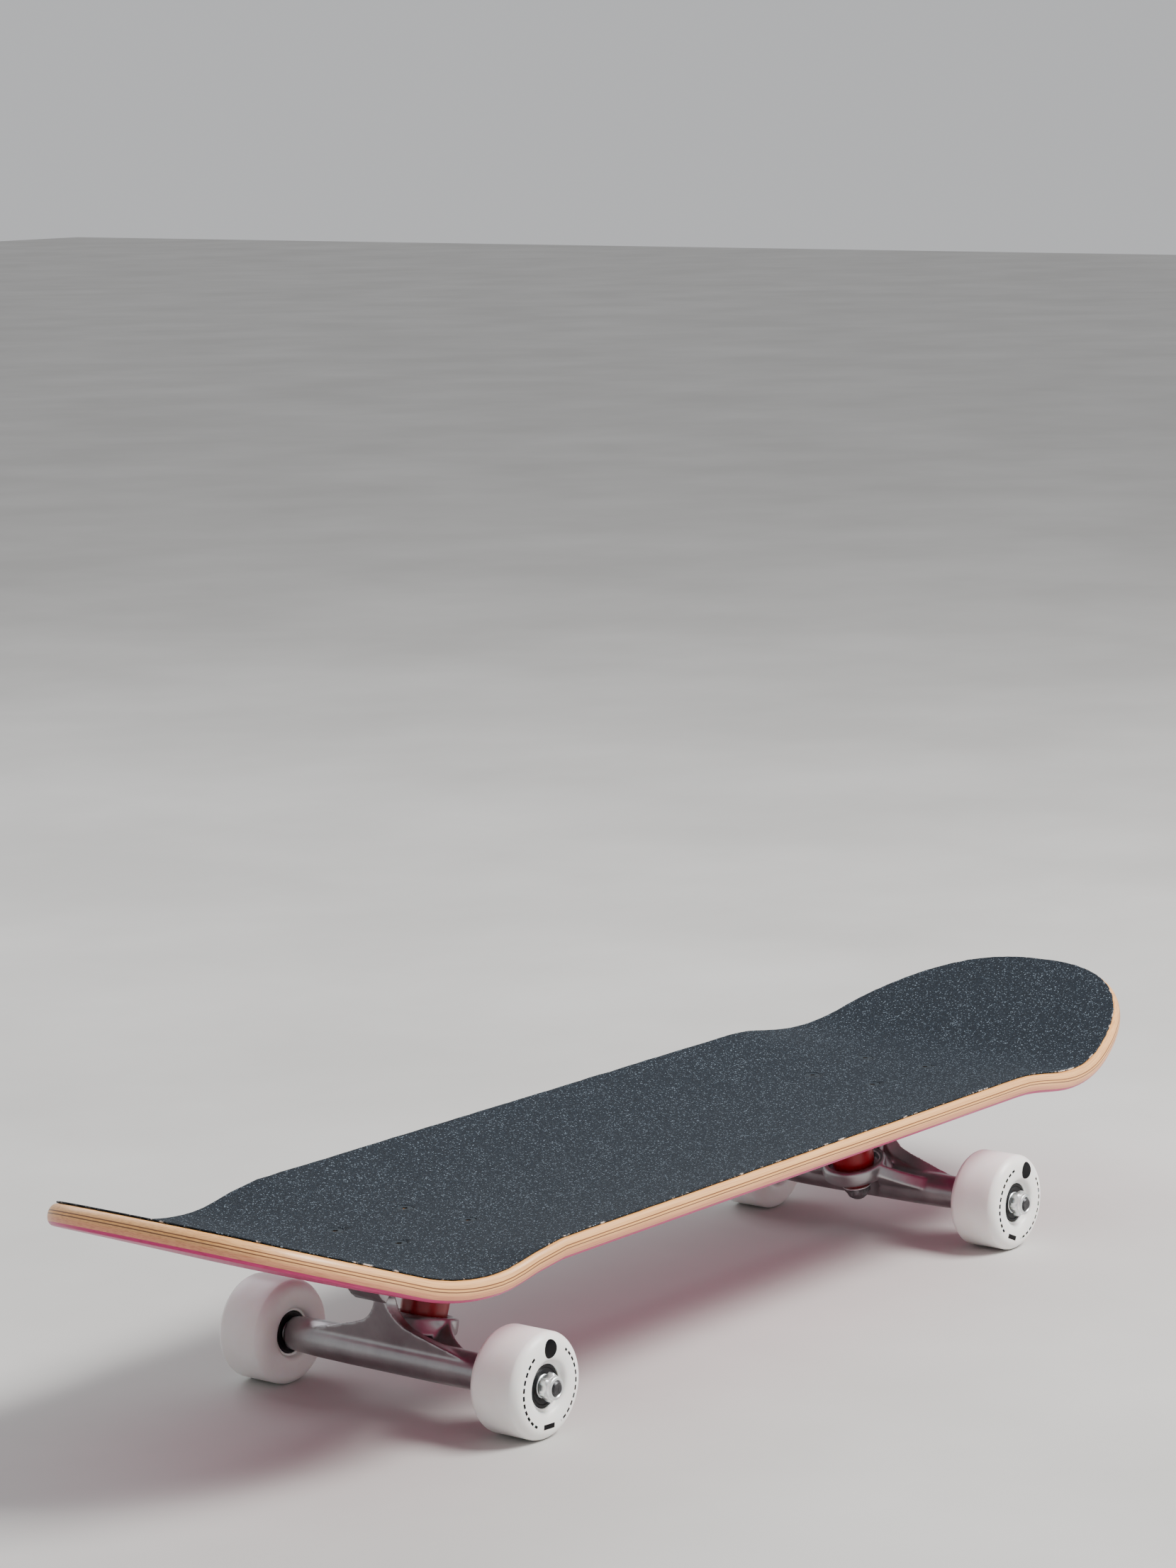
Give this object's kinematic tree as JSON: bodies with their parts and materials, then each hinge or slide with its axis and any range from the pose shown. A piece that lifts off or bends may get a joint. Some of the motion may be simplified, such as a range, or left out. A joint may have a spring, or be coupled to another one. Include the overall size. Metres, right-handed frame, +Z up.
{
  "type": "skateboard",
  "caption": "Street skateboard: kicked maple deck with grip tape, cast trucks that steer on urethane bushings, and hard wheels on bearings.",
  "frame": {"origin": "middle of the bounding box, on the floor under the wheels", "axes": "+X towards the nose, +Y to the rider's left, +Z up from the floor"},
  "size_m": [0.8112, 0.2052, 0.1392],
  "materials": {
    "maple_plies": "satin",
    "grip_tape": "matte",
    "cast_aluminium": "satin",
    "black_steel": "satin",
    "zinc_steel": "satin",
    "red_urethane": "satin",
    "white_urethane": "satin",
    "black_rubber": "matte",
    "bearing_steel": "satin"
  },
  "bodies": {
    "root": {"deck": "maple_plies", "grip_tape": "grip_tape", "tail_inner_left_bolt": "black_steel", "tail_inner_left_nut": "black_steel", "tail_inner_right_bolt": "black_steel", "tail_inner_right_nut": "black_steel", "tail_outer_left_bolt": "black_steel", "tail_outer_left_nut": "black_steel", "tail_outer_right_bolt": "black_steel", "tail_outer_right_nut": "black_steel", "tail_baseplate": "cast_aluminium", "tail_pivot_cup": "black_rubber", "tail_kingpin": "black_steel", "tail_kingpin_nut": "black_steel", "tail_upper_washer": "zinc_steel", "tail_lower_washer": "zinc_steel", "tail_upper_bushing": "red_urethane", "tail_lower_bushing": "red_urethane", "nose_inner_left_bolt": "black_steel", "nose_inner_left_nut": "black_steel", "nose_inner_right_bolt": "black_steel", "nose_inner_right_nut": "black_steel", "nose_outer_left_bolt": "black_steel", "nose_outer_left_nut": "black_steel", "nose_outer_right_bolt": "black_steel", "nose_outer_right_nut": "black_steel", "nose_baseplate": "cast_aluminium", "nose_pivot_cup": "black_rubber", "nose_kingpin": "black_steel", "nose_kingpin_nut": "black_steel", "nose_upper_washer": "zinc_steel", "nose_lower_washer": "zinc_steel", "nose_upper_bushing": "red_urethane", "nose_lower_bushing": "red_urethane"},
    "tail_hanger_body": {"tail_hanger": "cast_aluminium", "tail_axle": "black_steel", "tail_left_axle_washer": "zinc_steel", "tail_left_axle_nut": "zinc_steel", "tail_right_axle_washer": "zinc_steel", "tail_right_axle_nut": "zinc_steel"},
    "tail_left_wheel_body": {"tail_left_wheel": "white_urethane", "tail_left_inner_bearing": "bearing_steel", "tail_left_outer_bearing": "bearing_steel"},
    "tail_right_wheel_body": {"tail_right_wheel": "white_urethane", "tail_right_inner_bearing": "bearing_steel", "tail_right_outer_bearing": "bearing_steel"},
    "nose_hanger_body": {"nose_hanger": "cast_aluminium", "nose_axle": "black_steel", "nose_left_axle_washer": "zinc_steel", "nose_left_axle_nut": "zinc_steel", "nose_right_axle_washer": "zinc_steel", "nose_right_axle_nut": "zinc_steel"},
    "nose_left_wheel_body": {"nose_left_wheel": "white_urethane", "nose_left_inner_bearing": "bearing_steel", "nose_left_outer_bearing": "bearing_steel"},
    "nose_right_wheel_body": {"nose_right_wheel": "white_urethane", "nose_right_inner_bearing": "bearing_steel", "nose_right_outer_bearing": "bearing_steel"}
  },
  "joints": [
    {"name": "tail_steer", "type": "hinge", "parent": "root", "child": "tail_hanger_body", "pos_m": [-0.19219, 0, 0.0385], "axis": [-0.7793, 0, 0.6266], "range_deg": [-15, 15], "stiffness_Nm_per_rad": 60, "deforming": ["tail_upper_bushing", "tail_lower_bushing"]},
    {"name": "tail_left_wheel_spin", "type": "hinge", "parent": "tail_hanger_body", "child": "tail_left_wheel_body", "pos_m": [-0.21329, 0.082, 0.027], "axis": [0, 1, 0], "continuous": true},
    {"name": "tail_right_wheel_spin", "type": "hinge", "parent": "tail_hanger_body", "child": "tail_right_wheel_body", "pos_m": [-0.21329, -0.082, 0.027], "axis": [0, 1, 0], "continuous": true},
    {"name": "nose_steer", "type": "hinge", "parent": "root", "child": "nose_hanger_body", "pos_m": [0.19559, 0, 0.0385], "axis": [0.7793, 0, 0.6266], "range_deg": [-15, 15], "stiffness_Nm_per_rad": 60, "deforming": ["nose_upper_bushing", "nose_lower_bushing"]},
    {"name": "nose_left_wheel_spin", "type": "hinge", "parent": "nose_hanger_body", "child": "nose_left_wheel_body", "pos_m": [0.21669, 0.082, 0.027], "axis": [0, 1, 0], "continuous": true},
    {"name": "nose_right_wheel_spin", "type": "hinge", "parent": "nose_hanger_body", "child": "nose_right_wheel_body", "pos_m": [0.21669, -0.082, 0.027], "axis": [0, 1, 0], "continuous": true}
  ]
}
